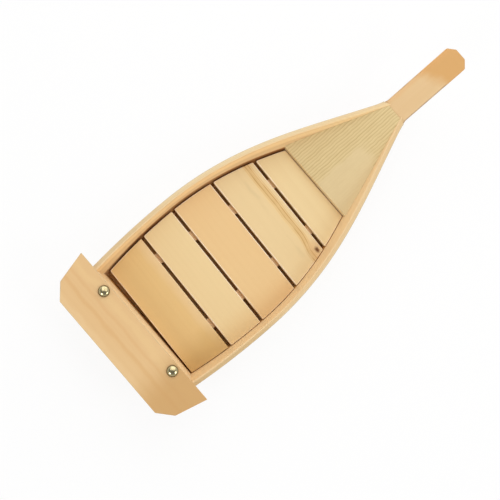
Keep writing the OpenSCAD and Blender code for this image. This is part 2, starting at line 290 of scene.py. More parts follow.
def labelled(values):
    """Turns ring_width into Ring Width, as the sockets are called."""
    return {name.replace("_", " ").title(): value for name, value in values.items()}


print("sockets for 0.5 and for a tone:", socket_kind(0.5), "and", socket_kind(tone(0, 0, 0)))

# %% [markdown]
# ## Wood that follows its board
# Wood isn't a picture wrapped round a board: the growth rings run through it, so
# they show as long figure on the face and as close lines on an edge. A solid texture
# gives that. The rings are cylinders round the heart of the tree, stretched along
# the grain and bent a little by noise. Each board reads them at its own distance
# from the heart, which is why no two boards match. The effect is used in every
# wooden material, so it is a node group with named inputs.

# %% Growth rings
RING_INPUTS = {"Heart Depth": 60 * MM, "Heart Side": 0.0, "Ring Width": 2.5 * MM, "Wobble": 4 * MM,
               "Ripple": 0.0, "Seed": 0.0}
SLOW_BENDS, SMALL_BENDS, RIPPLES = (4.0, 22.0, 22.0), (30.0, 260.0, 260.0), (110.0, 50.0, 50.0)
SMALL_BEND = 0.6 * MM
LATE_WOOD, YEAR_END, FAINTEST_YEAR = 2.6, 0.90, 0.55
FINE_FIBRE, WIDE_FIBRE, FIBRE_ROUGHNESS = (60.0, 3200.0, 3200.0), (7.0, 420.0, 420.0), 0.6


def make_growth_rings():
    tree, take, give = new_group("growth rings", {"Place": "Vector", **RING_INPUTS},
                                 {"Rings": "Float", "Ring Strength": "Float"})
    place, seed = take["Place"], take["Seed"]
    push = (noise(place, SLOW_BENDS, 2.0, seed) - 0.5) * (take["Wobble"] * 2.0)
    small = noise(place, SMALL_BENDS, 2.0, seed) * SMALL_BEND
    ripple = (noise(place, RIPPLES, 1.0, seed) - 0.5) * take["Ripple"]
    _, y, z = parts(place)
    y = y - take["Heart Side"]
    z = z + take["Heart Depth"]
    years = (calc("SQRT", y * y + z * z) + push + small + ripple) / take["Ring Width"]
    season = calc("FRACT", years)
    year = output(tree, "ShaderNodeTexWhiteNoise", "Value", {"W": calc("FLOOR", years)},
                  noise_dimensions="1D")
    feed(give["Rings"], calc("POWER", season, LATE_WOOD) * fit(season, YEAR_END, 1.0, 1.0, 0.0))
    feed(give["Ring Strength"], fit(year, 0.0, 1.0, FAINTEST_YEAR, 1.0, "LINEAR"))
    return tree


def make_wood_fibre():
    tree, take, give = new_group("wood fibre", {"Place": "Vector", "Seed": 0.0},
                                 {"Fibre": "Float", "Streaks": "Float"})
    fine, wide = [noise(take["Place"], waves, detail, take["Seed"], FIBRE_ROUGHNESS)
                  for waves, detail in ((FINE_FIBRE, 2.0), (WIDE_FIBRE, 3.0))]
    feed(give["Fibre"], fine)
    feed(give["Streaks"], fit(wide, 0.35, 0.65, 0.0, 1.0, "LINEAR"))
    return tree


growth_rings, wood_fibre = make_growth_rings(), make_wood_fibre()
print("groups:", growth_rings.name, "and", wood_fibre.name)

# %% [markdown]
# ## One group for sanded softwood
# A board's colour is its pale early wood, the darker late wood of each ring, slow
# patches where the sap ran, and fine fibre. Eased arrises get a colour of their own, a
# painted highlight where it is paler. The group mixes these and also puts out roughness
# and a height for the bump, so that rings and fibre are felt as well as seen.

# %% Softwood group
QUIETED = 0.85
PATCH_SHAPE, PATCH_SEED = (0.35, 1.0, 1.0), 7.0
GRAIN_TONE, GRAIN_SHARE = tone(150, 100, 55), 0.2
ARRIS_WAVES = 90.0
FIBRE_SHEEN, RING_SHEEN = 0.07, -0.06
RING_HEIGHT, FIBRE_HEIGHT = 0.5, 0.6


def make_softwood():
    tree, take, give = new_group("softwood", {
        "Place": "Vector", "Pale": tone(238, 210, 160), "Ring Color": tone(214, 168, 112),
        "Patch Color": tone(226, 186, 134), "Arris Color": tone(246, 220, 184), **RING_INPUTS,
        "Ring Depth": 0.3, "Patch Size": 50 * MM, "Patch Depth": 0.4, "Fibre Depth": 0.12, "Quiet": 0.0,
        "Arris": 0.0, "Arris Depth": 0.5, "Shine": 0.5},
        {"Color": "Color", "Roughness": "Float", "Height": "Float"})
    place, seed, ring_color = take["Place"], take["Seed"], take["Ring Color"]
    rings = use(tree, growth_rings, {label: take[label] for label in ("Place", *RING_INPUTS)})
    lines = use(tree, wood_fibre, {"Place": place, "Seed": seed})
    fibre = lines["Fibre"]
    ring = rings["Rings"] * rings["Ring Strength"] * (1.0 - take["Quiet"] * QUIETED)
    spot = output(tree, "ShaderNodeVectorMath", 0, {
        0: stretch(place, *PATCH_SHAPE), "Scale": 1.0 / take["Patch Size"]}, operation="SCALE")
    patch = fit(noise(spot, 1.0, 1.5, seed + PATCH_SEED), 0.38, 0.66)
    color = mix(patch * take["Patch Depth"], take["Pale"], take["Patch Color"])
    color = mix(calc("MULTIPLY", ring, take["Ring Depth"], clamp=True), color, ring_color)
    streak = lines["Streaks"] * fit(fibre, 0.3, 0.7, 0.55, 1.0, "LINEAR") * take["Fibre Depth"]
    color = mix(streak, color, ring_color)
    grain = fit(fibre, 0.3, 0.7, 1.0, 0.0, "LINEAR") * (take["Fibre Depth"] * GRAIN_SHARE)
    color = mix(grain, color, GRAIN_TONE)
    # the eased arrises get the Arris Color in uneven strength: a painted highlight where it is paler than the
    # board, painted shade where it is darker
    wear_and_painted_light = take["Arris"] * fit(noise(place, ARRIS_WAVES, 2.0, seed), 0.3, 0.6, 0.5, 1.0) * take["Arris Depth"]
    feed(give["Color"], mix(wear_and_painted_light, color, take["Arris Color"]))
    rough = fit(fibre, 0.2, 0.8, -FIBRE_SHEEN, FIBRE_SHEEN, "LINEAR") + ring * RING_SHEEN
    feed(give["Roughness"], calc("ADD", take["Shine"], rough, clamp=True))
    feed(give["Height"], ring * RING_HEIGHT + fibre * FIBRE_HEIGHT)
    return tree


softwood = make_softwood()
print("group:", softwood.name, "with", len(softwood.nodes), "nodes")

# %% [markdown]
# ## Bands and a knot
# Real boards differ from place to place. A soft band is a mask that rises along one
# axis and falls again, with uneven edges, and it can be used on any board. A knot is
# an oval with a darker middle, and the lines of the wood bend round it. Both could
# be painted by hand on a picture, but a mask stays sharp at any distance.

# %% Soft band group
BAND_DRIFT, BAND_GAPS = 55.0, (40.0, 60.0, 60.0)


def make_soft_band():
    tree, take, give = new_group("soft band", {
        "Place": "Vector", "Axis": (0.0, 1.0, 0.0), "Start": 0.0, "End": 100 * MM, "Blur": 10 * MM,
        "Unevenness": 4 * MM, "Gaps": 0.0, "Seed": 0.0}, {"Mask": "Float"})
    place, start, end, blur, seed = [take[label] for label in ("Place", "Start", "End", "Blur", "Seed")]
    reach = vector_math("DOT_PRODUCT", place, take["Axis"], "Value")
    along = reach + (noise(place, BAND_DRIFT, 3.0, seed) - 0.5) * (take["Unevenness"] * 2.0)
    held = fit(along, start, start + blur) * fit(along, end - blur, end, 1.0, 0.0)
    lull = fit(noise(place, BAND_GAPS, 2.0, seed), 0.4, 0.6)
    feed(give["Mask"], held * (1.0 - lull * take["Gaps"]))
    return tree


soft_band = make_soft_band()
print("group:", soft_band.name)

# %% Knot group
KNOT_OVAL, KNOT_RAGS, RAGGED_BY = 0.65, 700.0, 1.2 * MM
SWAY_WAVES, SWAY = (45.0, 8.0, 8.0), 1.6 * MM
FADE_WAVES = (60.0, 300.0, 300.0)


def make_knot():
    tree, take, give = new_group("knot and its lines", {
        "Place": "Vector", "Along": 50 * MM, "Across": 0.0, "Size": 3.1 * MM, "Reach": 13 * MM,
        "Bend": 4 * MM, "First Line": -4.2 * MM, "Second Line": -1.2 * MM},
        {"Knot": "Float", "Ring": "Float", "Lines": "Float"})
    place, first, second = take["Place"], take["First Line"], take["Second Line"]
    x, y, _ = parts(place)
    u, v = x - take["Along"], y - take["Across"]
    oval = u * KNOT_OVAL
    ragged = (noise(place, KNOT_RAGS, 2.0) - 0.5) * RAGGED_BY
    far = (calc("SQRT", oval * oval + v * v) + ragged) / take["Size"]
    feed(give["Knot"], fit(far, 0.15, 1.0, 1.0, 0.0))
    feed(give["Ring"], fit(far, 0.9, 3.0, 1.0, 0.0))
    part = calc("MINIMUM", u, 0.0) / take["Reach"]
    bell = calc("EXPONENT", part * part * -1.0)
    sway = (noise(place, SWAY_WAVES, 1.0) - 0.5) * SWAY
    bent = v + sway + bell * take["Bend"]
    lines = None
    for offset, width, depth in ((first, 1.4 * MM, 1.0), (second, 1.2 * MM, 1.0),
                                 (first + 1.5 * MM, 0.8 * MM, 0.6), (first - 1.7 * MM, 0.9 * MM, 0.35),
                                 (second + 1.7 * MM, 0.8 * MM, 0.5)):
        line = fit(calc("ABSOLUTE", bent - offset), 0.0, width, depth, 0.0)
        lines = line if lines is None else calc("MAXIMUM", lines, line)
    feed(give["Lines"], lines * fit(noise(place, FADE_WAVES, 2.0), 0.3, 0.55, 0.45, 1.0))
    return tree


knot_lines = make_knot()
print("group:", knot_lines.name)

# %% [markdown]
# ## A material for each board
# Every wooden material is the same recipe with its own numbers. It reads Object
# coordinates, turned by a Mapping node so that x runs along the grain. The two bent
# planks read an attribute that follows the bend instead, because their grain bends
# with them. Plain numbers such as the coat are set on the shader itself.
# A patch is where two bands cross, and a quiet area has no lines. Painted shade darkens
# the faces that look into the hull below the slats, the colour seen down the gaps, and
# it reaches a little above them on the port plank: it is given by the bands that it
# keeps to, its lowest and highest place in millimetres above the table, and its blur.

# %% Wood material
ALONG, ACROSS_GRAIN, DEPTH = (1, 0, 0), (0, 1, 0), (0, 0, 1)
BAND_SEEDS, SHADE_SEED, SHADE_WAVES = 3.0, 5.0, (14.0, 70.0, 70.0)
KNOT_TONES = (("Lines", 0.95, tone(198, 152, 84)), ("Ring", 0.5, tone(220, 178, 126)),
              ("Knot", 1.0, tone(112, 66, 14)))


def new_material(name, fixed):
    """A material whose shader has the numbers that don't change over its surface."""
    material = bpy.data.materials.new(name)
    material.use_nodes = True
    shader = material.node_tree.nodes["Principled BSDF"]
    for label, value in fixed.items():
        shader.inputs[label].default_value = value
    return material, material.node_tree, shader


def dress(shader, color, rough, height, strength, distance):
    lift = output(color.tree, "ShaderNodeBump", "Normal", {
        "Strength": strength, "Distance": distance, "Height": height})
    for label, value in (("Base Color", color), ("Roughness", rough), ("Normal", lift)):
        feed(shader.inputs[label], value)


def band(axis, start, end, blur, strength=1.0, shade=None, uneven=4, gaps=0.0):
    """A soft-edged band of another tone, in millimetres measured along an axis of the board."""
    return {"Axis": axis, "Start": start * MM, "End": end * MM, "Blur": blur * MM,
            "Unevenness": uneven * MM, "Gaps": gaps}, strength, shade and tone(*shade)


def wood(name, pale, ring, patch, grain=(0, 0, 0), attribute=None, bands=(), patches=(), quiet=(), painted_shade=(),
         knot=None, bump=0.04 * MM, **values):
    material, tree, shader = new_material(name, {"Coat Weight": 0.05, "Coat Roughness": 0.3,
                                                 "Specular IOR Level": 0.35})
    whole = output(tree, "ShaderNodeTexCoord", "Object")
    source = output(tree, "ShaderNodeAttribute", "Vector", attribute_name=attribute) if attribute else whole
    place = output(tree, "ShaderNodeMapping", "Vector", {"Vector": source, "Rotation": grain})

    def mask(limits, where=place, seed=0.0):
        return use(tree, soft_band, {"Place": where, "Seed": seed, **limits})["Mask"]

    crossing = [side for pair in patches for side in pair]
    bounded = [*bands, *crossing, *quiet]
    masks = [mask(limits, seed=BAND_SEEDS * i) for i, (limits, _, _) in enumerate(bounded)]
    calm = masks[-2] * masks[-1] if quiet else None
    board = use(tree, softwood, {
        "Place": place, "Pale": tone(*pale), "Ring Color": tone(*ring), "Patch Color": tone(*patch),
        "Arris": output(tree, "ShaderNodeAttribute", "Fac", attribute_name="arris"), "Quiet": calm,
        **labelled(values)})
    color = board["Color"]
    for shape, (_, strength, shade) in zip(masks, bands):
        color = mix(shape * strength, color, shade)
    for i, ((_, strength, shade), _) in enumerate(patches):
        one, other = masks[len(bands) + 2 * i:][:2]
        color = mix(one * other * strength, color, shade)
    if quiet:
        color = mix(calm * quiet[0][1], color, quiet[0][2])
    # painted shade: darker below the slats, where shade falls in the gaps between them
    for *sides, low, high, blur in painted_shade:
        level = band(DEPTH, low, high, blur, uneven=0)
        shade_mask = fit(noise(place, SHADE_WAVES, 3.0, SHADE_SEED), 0.35, 0.65, 0.55, 1.0)
        for where, (limits, strength, _) in [(whole, level), *[(place, side) for side in sides]]:
            shade_mask = shade_mask * (mask(limits, where) * strength)
        color = mix(shade_mask, color, sides[0][2], "MULTIPLY")
    if knot:
        spot = use(tree, knot_lines, {"Place": place, **knot})
        for label, strength, shade in KNOT_TONES:
            color = mix(spot[label] * strength, color, shade)
    dress(shader, color, board["Roughness"], board["Height"], 1.0, bump)
    return material


print("tones of a knot:", len(KNOT_TONES))

# %% What several boards share
ACROSS = (0, 0, math.radians(90))
SLAT_GRAIN = (0, 0, math.radians(90) + SKEW)
UPHILL = (0, math.atan(STEM_RISE), 0)
SMOOTH = {"ring_width": 4.2 * MM, "wobble": 6 * MM, "ring_depth": 0.12, "patch_depth": 0.4,
          "fibre_depth": 0.1}
EDGES = {"arris_color": tone(255, 234, 206), "arris_depth": 1.0}
PLANK_LINES = {"attribute": "grain_place", "heart_depth": 500 * MM, "ring_width": 1.3 * MM,
               "wobble": 1.2 * MM, "ring_depth": 0.55, "patch_depth": 0.5, "fibre_depth": 0.45,
               "arris_depth": 0.1}
# tones of the painted shade below the slats, and of the darker painted shade at the port plank's foot
PAINTED_SHADE_TONE, PAINTED_FOOT_SHADE = (224, 190, 136), (140, 92, 46)
BELOW_SLATS = -9, 18, 0.9
TOP_FACE, INNER_SKIN = band(DEPTH, -2, 4.2, 1.0, uneven=0), band(DEPTH, 3.0, 20, 0.8, uneven=0)
OUTER_EDGE = (band(ACROSS_GRAIN, -2, 1.5, 0.5, 0.6, (200, 188, 158), 0), band(DEPTH, -2, 1.4, 0.6, uneven=0))
# the upper part of a plank's inner face is painted paler, fading downward: painted light
INNER_EDGE = (band(ACROSS_GRAIN, 0.2, 9, 3.0, 0.6, (253, 220, 166), 0), INNER_SKIN)


# the top strip of a plank is painted paler: a painted highlight
def rim(strength, shade):
    return band(ACROSS_GRAIN, -9, 1.2, 1.0, strength, shade, 0)


# a plank's inner face in its own tone, warmer on the port plank and paler on the starboard plank: painted
# light
def inner_face(strength, shade):
    return band(DEPTH, 3.6, 20, 1.6, strength, shade, 0)


def inner_stain(strength, shade):
    return band(DEPTH, 4.2, 20, 0.5, strength, shade, 0)


print(f"the slats' grain is turned {math.degrees(SLAT_GRAIN[2]):.1f} degrees")

# %% Wood of the side planks
# The starboard plank is painted a little darker than the port plank: painted shade. Its top face is painted
# darker still towards the stern, also painted shade. On the port plank the inner face's painted tint turns
# paler towards the bow.
port_wood = wood(
    "port side wood", (233, 210, 163), (204, 160, 104), (230, 196, 142),
    bands=[rim(0.3, (240, 219, 180)), inner_face(0.4, (242, 196, 138))],
    patches=[OUTER_EDGE, INNER_EDGE, (band(ALONG, -60, 150, 70, 0.6, (206, 176, 130), 20), TOP_FACE),
             (band(ALONG, 270, 500, 60, 0.5, (240, 212, 156), 0), INNER_SKIN)],
    painted_shade=[(inner_stain(1.0, (214, 172, 108)), band(ALONG, 40, 900, 80), -9, 22.5, 4.5),
          (inner_stain(0.9, PAINTED_FOOT_SHADE), band(ALONG, 30, 900, 90), 13, 21.4, 2.2),
          (inner_stain(0.9, PAINTED_FOOT_SHADE), band(ALONG, -60, 130, 70), 9, 20, 1.4)], **PLANK_LINES)
starboard_wood = wood(
    "starboard side wood", (227, 198, 149), (198, 154, 98), (222, 186, 132),
    bands=[rim(0.3, (232, 206, 160)), inner_face(0.5, (244, 214, 168))],
    patches=[OUTER_EDGE, (band(ALONG, 860, 1065, 70, 0.7, (198, 168, 118), 20), TOP_FACE)],
    painted_shade=[(inner_stain(1.0, PAINTED_SHADE_TONE), *BELOW_SLATS)], **PLANK_LINES)
print("side planks:", port_wood.name, "and", starboard_wood.name)

# %% Wood of the other boards of the hull
# the bottom's top face and the transom's inner face are painted darker below the slats: painted shade, the
# colour seen down the gaps
base_wood = wood(
    "base wood", (238, 206, 152), (206, 160, 102), (226, 188, 132), heart_depth=30 * MM, seed=2.0,
    ring_depth=0.5, fibre_depth=0.3, painted_shade=[(band(DEPTH, 4.5, 6, 0.3, 1.0, (243, 210, 156), 0), *BELOW_SLATS)])
# the tongue's eased edges are painted darker than the board: painted shade on its edges
stem_wood = wood(
    "stem wood", (225, 192, 144), (210, 170, 116), (222, 182, 128), grain=UPHILL, seed=3.0, bump=0.05 * MM,
    bands=[band((1, 0.5, 0), 184.5, 400, 15, 0.9, (213, 163, 99), 10),
           band(ACROSS_GRAIN, 6, 20, 5, 0.25, (228, 172, 112), 5)],
    arris_color=tone(176, 148, 116), arris_depth=1.0, **SMOOTH)
transom_wood = wood(
    "transom wood", (235, 207, 163), (212, 172, 120), (228, 196, 148), grain=ACROSS, seed=4.0,
    painted_shade=[(band((0, 1, RAKE), -161, -100, 0.5, 1.0, PAINTED_SHADE_TONE, 0), *BELOW_SLATS)], **SMOOTH)
# towards its starboard end the stern board is painted darker: painted shade
stern_wood = wood(
    "stern wood", (227, 191, 139), (213, 168, 113), (223, 182, 128), grain=ACROSS, seed=5.0,
    bands=[band(ACROSS_GRAIN, -215, -203.5, 3, 0.6, (230, 196, 146)),
           band(ACROSS_GRAIN, -197, -190.5, 3, 0.5, (216, 170, 114), 3),
           band(ACROSS_GRAIN, -187, -182, 2.5, 0.4, (218, 172, 118), 3),
           band(ACROSS_GRAIN, -182, -172, 4, 0.4, (232, 198, 142), 6),
           band(ALONG, 24, 200, 36, 0.8, (202, 158, 100))],
    arris_color=tone(200, 180, 142), arris_depth=0.6, **SMOOTH)
deck_wood = wood(
    "deck wood", (227, 206, 154), (178, 144, 88), (216, 192, 140), seed=6.0, heart_depth=0.0,
    heart_side=900 * MM, ring_width=2.7 * MM, wobble=1 * MM, ripple=2 * MM, ring_depth=0.95,
    fibre_depth=0.2, arris_depth=0.3,
    quiet=[band(ALONG, 36, 100, 9, 0.5, (222, 199, 155), 18), band(ACROSS_GRAIN, -60, 0, 5, uneven=9)])
print("other boards:", [w.name for w in (base_wood, stem_wood, transom_wood, stern_wood, deck_wood)])


# %% Wood of the slatted deck
def slat_wood(name, pale, ring, patch, seed, bands, knot=None):
    return wood(name, pale, ring, patch, SLAT_GRAIN, seed=seed, bands=bands, knot=knot, **EDGES, **SMOOTH)


# on the first three slats the starboard ends are painted darker: painted shade
slat_dark = slat_wood(
    "dark slat wood", (229, 192, 129), (210, 166, 104), (222, 183, 118), 7.0,
    [band(ACROSS_GRAIN, -131, 0, 10, 0.8, (232, 199, 147)), band(ALONG, 34, 200, 26, 0.8, (205, 166, 102))])
slat_pale = slat_wood(
    "pale slat wood", (236, 208, 155), (220, 186, 130), (231, 201, 147), 8.0,
    [band(ALONG, 42, 200, 22, 0.5, (222, 184, 126))])
slat_warm = slat_wood(
    "warm slat wood", (234, 198, 142), (220, 178, 120), (232, 192, 134), 9.0,
    [band(ALONG, 42, 200, 22, 0.5, (220, 176, 118))])
slat_knotty = slat_wood(
    "knotty slat wood", (235, 208, 157), (217, 185, 130), (230, 201, 149), 11.0,
    [band(ACROSS_GRAIN, -13, -6, 3.5, 0.28, (208, 184, 136), gaps=1.0),
     band(ACROSS_GRAIN, -4.5, 5.5, 2.5, 0.6, (236, 202, 142), 2)], {"Along": 50.5 * MM, "Across": 3.9 * MM})
slat_last = slat_wood(
    "last slat wood", (236, 210, 158), (220, 186, 130), (232, 203, 149), 12.0,
    [band(ACROSS_GRAIN, 33, 60, 8, 0.5, (230, 198, 142))])
runner_wood = wood("runner wood", (236, 202, 158), (210, 166, 112), (226, 188, 138), seed=10.0, **SMOOTH)
print("wooden materials:", len([m for m in bpy.data.materials if "wood" in m.name]))

# %% [markdown]
# ## Domed brass and bright steel
# The two nails on the stern board are polished brass that has dulled a little where
# fingers and soy sauce reach. Round the rim they are painted darker, a painted
# reflection of the wood and of the dark overhead. The brads are plain steel, seen only
# from below and from the sides. One group gives their hairline scratches, their
# tarnish and the nails' painted rim reflection.

# %% Metal group and materials
CLOUDS, SCRATCHES = 420.0, (900.0, 9000.0, 2500.0)
CLOUD_ROUGHNESS, SCRATCH_ROUGHNESS, PAINTED_RIM_REFLECTION = 0.14, 0.12, 1.7


def make_metal_wear():
    tree, take, give = new_group("metal wear", {
        "Place": "Vector", "Clean": tone(214, 196, 132), "Dull": tone(128, 108, 62), "Dullness": 0.4,
        "Rim": 0.0, "Shine": 0.2, "Seed": 0.0}, {"Color": "Color", "Roughness": "Float", "Height": "Float"})
    cloud = fit(noise(take["Place"], CLOUDS, 3.0, take["Seed"]), 0.36, 0.68)
    scratch = noise(take["Place"], SCRATCHES, 2.0, take["Seed"])
    # the outer part of the dome is painted darker, a painted reflection, on top of the random tarnish clouds
    wear_and_painted_light = calc("MAXIMUM", cloud, fit(take["Rim"], 0.55, 0.95, 0.0, PAINTED_RIM_REFLECTION))
    wear_and_painted_light = calc("MULTIPLY", wear_and_painted_light, take["Dullness"], clamp=True)
    lines = fit(scratch, 0.55, 0.8, 0.0, SCRATCH_ROUGHNESS)
    feed(give["Color"], mix(wear_and_painted_light, take["Clean"], take["Dull"]))
    feed(give["Roughness"], calc("ADD", take["Shine"] + cloud * CLOUD_ROUGHNESS, lines, clamp=True))
    feed(give["Height"], scratch)
    return tree


metal_wear = make_metal_wear()


def metal(name, clean, dull, **values):
    material, tree, shader = new_material(name, {"Metallic": 1.0})
    wear_and_painted_light = use(tree, metal_wear, {
        "Place": output(tree, "ShaderNodeTexCoord", "Object"), "Clean": tone(*clean), "Dull": tone(*dull),
        "Rim": output(tree, "ShaderNodeAttribute", "Fac", attribute_name="rim"), **labelled(values)})
    dress(shader, wear_and_painted_light["Color"], wear_and_painted_light["Roughness"], wear_and_painted_light["Height"], 0.6, 0.004 * MM)
    return material


dome_brass = metal("dome brass", (226, 212, 166), (92, 76, 42), dullness=0.55, shine=0.12, seed=1.0)
brad_steel = metal("brad steel", (176, 176, 178), (110, 104, 98), dullness=0.6, shine=0.34, seed=2.0)
print("metals:", dome_brass.name, "and", brad_steel.name)

# %% [markdown]
# ## Lofted boards
# A bent plank, a slat or the bow deck is a row of cross sections. The hull's rules
# give each section's corners, and a small Geometry Nodes tree joins them: it takes
# a closed cylinder with one ring of points for each section and moves every point
# to its place. Skinning the sections face by face in code would work too, but the
# tree keeps the mesh closed by itself.

# %% Loft tree
CORNER_STEPS = 3
RING_POINTS = 4 * (CORNER_STEPS + 1)


def finish_tree(give, geometry, finish):
    """Ends a tree with real geometry that has its material."""
    real = output(geometry.tree, "GeometryNodeRealizeInstances", 0, {"Geometry": geometry})
    feed(give, output(geometry.tree, "GeometryNodeSetMaterial", 0, {"Geometry": real, "Material": finish}))


def make_loft_tree():
    tree, take, give = new_group("loft through rings", {
        "Rings": "Geometry", "Points": RING_POINTS, "Sections": 10, "Finish": "Material"},
        {"Board": "Geometry"}, kind="GeometryNodeTree")
    points, last = take["Points"], take["Sections"] - 1
    tube = output(tree, "GeometryNodeMeshCylinder", "Mesh", {
        "Vertices": points, "Side Segments": last, "Radius": 1.0, "Depth": 2.0}, fill_type="NGON")
    place = output(tree, "GeometryNodeInputPosition")
    x, y, z = parts(place)
    turn = calc("ARCTAN2", y, x) / math.tau
    point = calc("ROUND", calc("FRACT", turn + 1.0001) * points)
    section = calc("ROUND", (z + 1.0) / 2.0 * last)
    index = section * points + calc("MODULO", point, points)
    index = output(tree, "FunctionNodeFloatToInt", 0, {0: index}, rounding_mode="ROUND")
    found = output(tree, "GeometryNodeSampleIndex", "Value", {
        "Geometry": take["Rings"], "Index": index, "Value": place}, data_type="FLOAT_VECTOR", domain="POINT")
    moved = output(tree, "GeometryNodeSetPosition", "Geometry", {"Geometry": tube, "Position": found})
    finish_tree(give["Board"], moved, take["Finish"])
    return tree


loft_tree = make_loft_tree()
print("tree:", loft_tree.name, "with", len(loft_tree.nodes), "nodes")


# %% Running a tree
def new_object(name, data):
    thing = bpy.data.objects.new(name, data)
    bpy.context.scene.collection.objects.link(thing)
    return thing


def finished_mesh(piece):
    """The piece's mesh as its modifiers leave it."""
    bpy.context.view_layer.update()
    return bpy.data.meshes.new_from_object(piece.evaluated_get(bpy.context.evaluated_depsgraph_get()))


def settle(piece):
    piece.data = finished_mesh(piece)
    piece.modifiers.clear()
    return piece


def socket_id(tree, name):
    return next(s.identifier for s in tree.interface.items_tree if s.name == name and s.in_out == "INPUT")


def grow(name, tree, places, attributes=None, **inputs):
    """Runs a Geometry Nodes tree on loose points and returns the result as a plain mesh object."""
    source = bpy.data.meshes.new(name + "_points")
    source.from_pydata([tuple(p) for p in places], [], [])
    for label, vectors in (attributes or {}).items():
        layer = source.attributes.new(label, "FLOAT_VECTOR", "POINT")
        layer.data.foreach_set("vector", [c for v in vectors for c in v])
    holder = new_object(name + "_source", source)
    modifier = holder.modifiers.new("build", "NODES")
    modifier.node_group = tree
    for label, value in labelled(inputs).items():
        modifier[socket_id(tree, label)] = value
    made = finished_mesh(holder)
    made.name = name
    bpy.data.objects.remove(holder)
    return new_object(name, made)


def loft(name, sections, material):
    places = [point for section in sections for point in section]
    return grow(name, loft_tree, places, points=RING_POINTS, sections=len(sections), finish=material)


print("the loft's inputs:", [socket_id(loft_tree, name) for name in ("Points", "Sections", "Finish")])

# %% [markdown]
# ## Eased corners
# Nothing on a sanded board is knife-sharp. Each cross section gets its corners
# rounded before it is lofted, and the first and last sections are drawn in, so that
# the ends are rounded as well. The narrow faces of those roundings are marked with
# an attribute, which the wood group uses to paint the arris in its own colour: a
# painted highlight on most boards.

# %% Rounded sections and their finish
MERGE, CAD_MERGE = 0.001 * MM, 0.002 * MM
NARROW = 0.9 * MM


def rounded(corners, eases):
    """The closed outline through the corners, each rounded by its own ease."""
    points = []
    count = len(corners)
    for i, (corner, ease) in enumerate(zip(corners, eases)):
        corner = Vector(corner)
        before, after = Vector(corners[i - 1]) - corner, Vector(corners[(i + 1) % count]) - corner
        a = corner + before.normalized() * min(ease, before.length * 0.4)
        b = corner + after.normalized() * min(ease, after.length * 0.4)
        for k in range(CORNER_STEPS + 1):
            t = k / CORNER_STEPS
            points.append(a * (1 - t) ** 2 + corner * 2 * t * (1 - t) + b * t * t)
    return points


def open_shape(mesh, merge=MERGE):
    """A mesh that can be edited, with the points that lie on each other merged."""
    shape = bmesh.new()
    shape.from_mesh(mesh)
    bmesh.ops.remove_doubles(shape, verts=shape.verts, dist=merge)
    return shape


def close_shape(shape, mesh):
    for face in shape.faces:
        face.smooth = True
    shape.to_mesh(mesh)
    shape.free()


def weigh_normals(piece):
    """Shades large faces flat and lets only the rounded strips turn."""
    piece.modifiers.new("weights", "WEIGHTED_NORMAL").weight = 100
    return settle(piece)


def finish_board(piece):
    """Turns a lofted board's faces outwards and marks its eased arrises."""
    shape = open_shape(piece.data)
    bmesh.ops.recalc_face_normals(shape, faces=shape.faces)
    arris = shape.faces.layers.float.new("arris")
    for face in shape.faces:
        longest = max(e.calc_length() for e in face.edges)
        face[arris] = 1.0 if face.calc_area() < NARROW * longest else 0.0
    close_shape(shape, piece.data)
    return weigh_normals(piece)


def place_piece(piece, body, node):
    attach(piece, body)
    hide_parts(node)
    edges = piece.data.attributes.get("arris")
    eased = sum(item.value > 0.5 for item in edges.data) if edges else 0
    print(f"{piece.name}: {len(piece.data.polygons)} faces on {body}, {eased} of them eased edges")


print("points in a rounded section:", RING_POINTS)

# %% [markdown]
# ## The bent side planks
# Each plank is one thin board. Its foot stands on the bottom and on the rising stem
# board, its rear end leans with the transom, and it runs out to a point against the
# tongue. Sections 2 mm apart keep the bend smooth. Its grain place is worked out
# from the finished vertices: distance along the bend, distance down from the top
# edge and depth from the outer face. The second plank counts its distance from
# another start, so that the two planks don't match.

# %% Side planks
TRANSOM_FOOT = X_TRANSOM + (Z_STERN - BASE) * RAKE
REAR_FOOT, REAR_TOP = TRANSOM_FOOT - TRANSOM, X_TRANSOM - TRANSOM
PLANK_EASE, FOOT_EASE = 1.6 * MM, 0.2 * MM
SECTION_STEP, POINT_LENGTH = 2 * MM, 8 * MM
POINT_SECTIONS = ((5 * MM, 1.2 * MM), (2.5 * MM, 2.4 * MM), (GLUE, 3.6 * MM))


def plank_section(low_x, high_x, side, slant=0.0):
    low, high = seat(low_x), top(high_x)

    def skin(x, z):
        return (x - slant, side * outside(x - slant, z), z)

    return rounded([skin(low_x, low), (low_x, side * inside(low_x, low), low),
                    (high_x, side * inside(high_x, high), high), skin(high_x, high)],
                   [FOOT_EASE, FOOT_EASE, PLANK_EASE, PLANK_EASE])


def make_plank(name, side, material):
    sections = [plank_section(REAR_FOOT, REAR_TOP, side)]
    sections += [plank_section(x, x, side)
                 for x in np.arange(REAR_FOOT + SECTION_STEP, X_NECK - POINT_LENGTH, SECTION_STEP)]
    sections += [plank_section(X_NECK - back, X_NECK - back, side, slant) for back, slant in POINT_SECTIONS]
    return loft(name, sections, material)


planks = {"port_side_plank": make_plank("port_plank", 1, port_wood),
          "starboard_side_plank": make_plank("starboard_plank", -1, starboard_wood)}
print("points on each plank:", [len(plank.data.vertices) for plank in planks.values()])

# %% Grain along the bend
BEND_STEPS = 600
GRAIN_STARTS = {"port_side_plank": 0.0, "starboard_side_plank": 900 * MM}
bend_x = np.linspace(X_REAR, X_NECK, BEND_STEPS)
bend_steps = np.hypot(np.diff(bend_x), np.diff([half_top(x) for x in bend_x]))
bend_length = np.concatenate([[0], np.cumsum(bend_steps)])


def lay_grain(piece, start):
    places = []
    for vertex in piece.data.vertices:
        x, y, z = vertex.co
        places += [float(np.interp(x, bend_x, bend_length)) + start, top(x) - z, outside(x, z) - abs(y)]
    layer = piece.data.attributes.new("grain_place", "FLOAT_VECTOR", "POINT")
    layer.data.foreach_set("vector", places)


